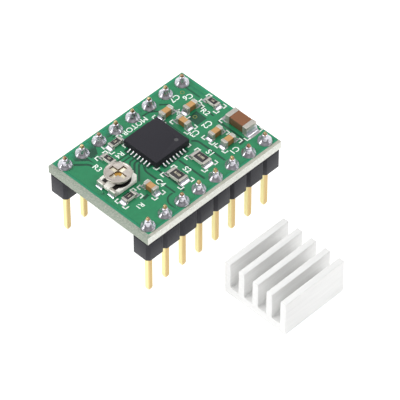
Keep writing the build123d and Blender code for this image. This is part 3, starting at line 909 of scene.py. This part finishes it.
compound = finish("moulding_compound", rgb(46, 45, 51), 0.5, mottle=0.2, grain=0.08,
                  relief=0.004, specular=0.15)
tinned = finish("tinned_leads", rgb(204, 204, 204), 0.3, metallic=0.9, mottle=0.1, grain=0.1)
silicon = finish("polished_silicon", rgb(96, 100, 112), 0.15, metallic=0.7, mottle=0.05)
worn_compound = finish("worn_compound", rgb(76, 76, 78), 0.5, mottle=0.15, grain=0.08)
package = refined("chip_package", "moulded_package", compound, "module", "chip_plastic", 0.035)
package.data.materials.append(worn_compound)
DIMPLE_FLOOR = (0.03, 0.07)     # depths between which the floor of the dimple lies
for face in package.data.polygons:
    depth = chip_high.z - face.center.z / MM
    if DIMPLE_FLOOR[0] < depth < DIMPLE_FLOOR[1] and face.normal.z > 0.9:
        face.material_index = 1
repaint(tinned, "chip_contacts")
repaint(silicon, "chip_die")
refined("chip_solder", "lead_fillets", tinned, "module", "solder", 0.015, 50, 1)

# ---------------------------------------------------------------------------------- trimmer
# Screwdriver-set resistor: a white ceramic base with a black horseshoe track, three metal
# clips folded round its edge, and a steel cup riveted through it as the rotor, with a cross
# slot whose deeper middle shows the brass hub. A spring wiper rides under the rotor.

ceramic = finish("white_ceramic", rgb(248, 246, 238), 0.5, mottle=0.05, grain=0.2, relief=0.004)
steel = finish("rotor_steel", rgb(196, 188, 180), 0.34, metallic=0.7, mottle=0.18, grain=0.4,
               relief=0.01)
brass = finish("hub_brass", rgb(222, 172, 84), 0.3, metallic=0.7, mottle=0.12, grain=0.1)
# Painted shade and highlight: the slot's walls get a dark brown for the shade inside them, and
# its floors a whiter metal that is partly their polish and partly a painted highlight.
shade = finish("slot_wall", rgb(104, 84, 62), 0.6, mottle=0.3, grain=0.15)
polished_and_highlit = finish("slot_floor", rgb(238, 230, 206), 0.25, metallic=0.6, mottle=0.15, grain=0.2)
# Depths from the rotor's rim: the cross slot starts below TOP_SURFACE, what is deeper than
# SLOT_FLOOR is the pit in its middle, and nothing of the pit is deeper than PIT_REACH.
TOP_SURFACE = 0.1
SLOT_FLOOR = 0.36
PIT_REACH = 0.6
SLOT_REACH = 1.16      # past the end of the cross slot, from the rotor's axis
film = finish("resistive_track", rgb(22, 21, 22), 0.35, mottle=0.15, grain=0.1)
clip_metal = finish("clip_metal", rgb(216, 214, 206), 0.3, metallic=0.8, mottle=0.07, grain=0.12)

refined("trimmer_base", "ceramic_base", ceramic, "module", "trimmer_ceramic", 0.06)
repaint(film, "trimmer_track")
refined("trimmer_terminals", "folded_clips", clip_metal, "module", "end_metal", 0.035)
rotor = refined("trimmer_rotor", "cupped_rotor", steel, "trimmer_turn", "rotor_metal", 0.03, 35)
repaint(brass, "trimmer_wiper")

rotor_low, rotor_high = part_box("trimmer_rotor")
rotor_axis = (rotor_low + rotor_high) / 2
for material in (brass, shade, polished_and_highlit):
    rotor.data.materials.append(material)
BRASS_SLOT, SHADE_SLOT, HIGHLIT_FLOOR_SLOT = 1, 2, 3
# Painted shade on the slot's walls, a painted highlight over the polish of its floors, and the
# brass hub on the floor of the pit.
for face in rotor.data.polygons:
    from_axis = (face.center - rotor_axis).to_2d().length / MM
    below_top = (rotor_high.z - face.center.z) / MM
    if from_axis > SLOT_REACH or not TOP_SURFACE < below_top < PIT_REACH:
        continue
    if face.normal.z < 0.5:
        face.material_index = SHADE_SLOT
    else:
        face.material_index = BRASS_SLOT if below_top > SLOT_FLOOR else HIGHLIT_FLOOR_SLOT

# ----------------------------------------------------------------- capacitors and resistors
# Capacitors are fired blocks of brown ceramic, with painted shade on their sawn sides, which get
# a darker colour than their tops, and resistors flat chips of white ceramic with a dark coat over
# the resistive film. Both have tin-plated caps on their two ends.

tan_ceramic = finish("tan_ceramic", rgb(190, 146, 92), 0.5, mottle=0.07, grain=0.2, relief=0.003)
# Painted shade: the darker side colours stand for the shade on the capacitors' upright faces.
tan_painted_shade = finish("tan_ceramic_side", rgb(150, 110, 62), 0.55, mottle=0.12, grain=0.15)
brown_ceramic = finish("brown_ceramic", rgb(128, 80, 46), 0.5, mottle=0.12, grain=0.1,
                       relief=0.003, stretch=(1, 0.1, 1))
brown_painted_shade = finish("brown_ceramic_side", rgb(96, 74, 46), 0.55, mottle=0.15, grain=0.15)
end_tin = finish("end_tin", rgb(196, 192, 184), 0.34, metallic=0.75, mottle=0.12, grain=0.12,
                 relief=0.01)
chip_ceramic = finish("chip_ceramic", rgb(228, 226, 216), 0.5, mottle=0.05, grain=0.15)
coat = finish("resistor_coat", rgb(28, 26, 28), 0.3, mottle=0.2, grain=0.15, relief=0.004,
              coat=0.3)
digit_ink = finish("digit_ink", rgb(214, 206, 182), 0.5, mottle=0.08, grain=0.1)
CAP_EDGE, BULK_CAP_EDGE = 0.03, 0.09       # rounding of the caps
DIGIT_LIFT, DIGIT_THICKNESS = 0.004, 0.008

for component in COMPONENTS:
    if component == "bulk_capacitor":
        block, side_finish, block_slot = brown_ceramic, brown_painted_shade, "bulk_ceramic"
    elif component.startswith("capacitor"):
        block, side_finish, block_slot = tan_ceramic, tan_painted_shade, "capacitor_ceramic"
    else:
        block, side_finish, block_slot = chip_ceramic, chip_ceramic, "resistor_ceramic"
    body = refined(component + "_body", "fired_" + component, block, "module", block_slot, 0.0)
    body.data.materials.append(side_finish)
    # Painted shade: upright faces get the side colour, top and bottom the block's own.
    for face in body.data.polygons:
        face.material_index = int(abs(face.normal.z) < 0.5)
    cap_edge = BULK_CAP_EDGE if component == "bulk_capacitor" else CAP_EDGE
    refined(component + "_ends", "capped_" + component, end_tin, "module", "end_metal",
            cap_edge, 50)
refined("resistor_coats", "dark_coats", coat, "module", "resistor_coat", 0.012)

# Value digits on the coats: word and letter height for each kind
digit_meshes = []
for component in COMPONENTS:
    if "resistor" not in component:
        continue
    low, high = (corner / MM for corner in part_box(component + "_ends"))
    word, height = ("R100", 0.42) if component.startswith("sense") else ("103", 0.28)
    lies_along_x = high.x - low.x > high.y - low.y
    middle = (low + high) / 2
    spot = Matrix.Translation(Vector((middle.x, middle.y, high.z + DIGIT_LIFT)) * MM)
    turn = Matrix.Rotation(radians(180 if lies_along_x else -90), 4, "Z")
    digit_meshes.append(placed_text(word, height, DIGIT_THICKNESS, spot @ turn))
digits = joined("coat_digits", digit_meshes, digit_ink)
attach(digits, "module", "resistor_coat")

# ------------------------------------------------------------------------- component solder
# Each end cap and trimmer clip is wetted by a hollow fillet of solder, which runs out over
# a tinned pad on the board.

PAD_Z = BOARD_TOP + 0.001
PAD_THICKNESS = 0.037
PAD_RUN, BULK_PAD_RUN = 0.42, 0.66      # beyond the end of the component
PAD_UNDER = 0.3                         # under it
PAD_WIDER = 0.06                        # past either side of it
pad_outlines = []
for component in COMPONENTS:
    low, high = (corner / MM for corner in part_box(component + "_ends"))
    size = high - low
    lies_along_x = size.x > size.y
    run = BULK_PAD_RUN if component == "bulk_capacitor" else PAD_RUN
    for end in (-1, 1):
        if lies_along_x:
            edge = low.x if end < 0 else high.x
            xs = sorted((edge + end * run, edge - end * PAD_UNDER))
            ys = (low.y - PAD_WIDER, high.y + PAD_WIDER)
        else:
            edge = low.y if end < 0 else high.y
            xs = (low.x - PAD_WIDER, high.x + PAD_WIDER)
            ys = sorted((edge + end * run, edge - end * PAD_UNDER))
        pad_outlines.append(rectangle(*xs, *ys))
pad_tin = finish("pad_tin", rgb(178, 176, 178), 0.34, metallic=0.9, mottle=0.15, grain=0.3,
                 relief=0.02)
pads = plate("tinned_pads", pad_outlines, PAD_Z, PAD_THICKNESS, pad_tin)
attach(pads, "module", "solder")
refined("component_solder", "end_fillets", solder, "module", "solder", 0.05, 50)

# --------------------------------------------------------------------------------- heatsink
# Piece of extruded aluminium with five fins, sawn to a square and tumbled to a soft white
# sheen. It lies loose on the card, on the thermal tape that will hold it to the chip.

sink_low, sink_high = (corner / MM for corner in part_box("heatsink"))
FINS = 5
FIN_WIDTH = 0.8
FIN_ROOT = 1.2          # height of the solid base
FIN_TIP_ROUND = 0.12
FIN_ROOT_ROUND = 0.25
SINK_EDGE = 0.06        # tumbled edges, coloured a darker grey than the faces
side = sink_high.y - sink_low.y
fin_step = (side - FIN_WIDTH) / (FINS - 1)
sink_height = sink_high.z - sink_low.z
comb = [(0, 0), (side, 0)]
for index in range(FINS - 1, -1, -1):
    left = index * fin_step
    comb += [(left + FIN_WIDTH, sink_height), (left, sink_height)]
    if index:
        comb += [(left, FIN_ROOT), (left - fin_step + FIN_WIDTH, FIN_ROOT)]


def rounded_loop(points, tip_round, root_round, steps=4):
    """Closed outline with its outer corners and its inner corners rounded."""
    loop = []
    for before, corner, after in zip(points[-1:] + points, points, points[1:] + points[:1]):
        back = Vector(before) - Vector(corner)
        ahead = Vector(after) - Vector(corner)
        inner = back.x * ahead.y - back.y * ahead.x > 0
        radius = root_round if inner else tip_round
        loop += [tuple(point) for point in rounded_corner(before, corner, after, radius, steps)]
    return loop


aluminium = finish("tumbled_aluminium", rgb(232, 232, 231), 0.45, metallic=0.15, mottle=0.05,
                   grain=0.35, relief=0.008, stretch=(0.1, 1, 1))
# The rounded edges get a darker grey than the faces.
darker_edge_finish = finish("worn_aluminium_edge", rgb(168, 168, 168), 0.4, metallic=0.4, mottle=0.1, grain=0.2)
profile = rounded_loop(comb, FIN_TIP_ROUND, FIN_ROOT_ROUND)
sink = plate("finned_block", [profile], 0, sink_high.x - sink_low.x, aluminium)
sink.data.transform(Matrix.Translation(Vector((sink_low.x, sink_low.y, sink_low.z)) * MM)
                    @ Matrix(((0, 0, 1, 0), (1, 0, 0, 0), (0, 1, 0, 0), (0, 0, 0, 1))))
sink.data.materials.append(darker_edge_finish)
sink = softened(sink, SINK_EDGE, 60, edge_slot=1)
attach(sink, "loose_heatsink", "heatsink_aluminium", "heatsink")
tape = finish("thermal_tape", rgb(205, 214, 224), 0.7, mottle=0.05, grain=0.15, relief=0.01)
refined("heatsink_tape", "tape_square", tape, "loose_heatsink", "thermal_tape", 0.02)
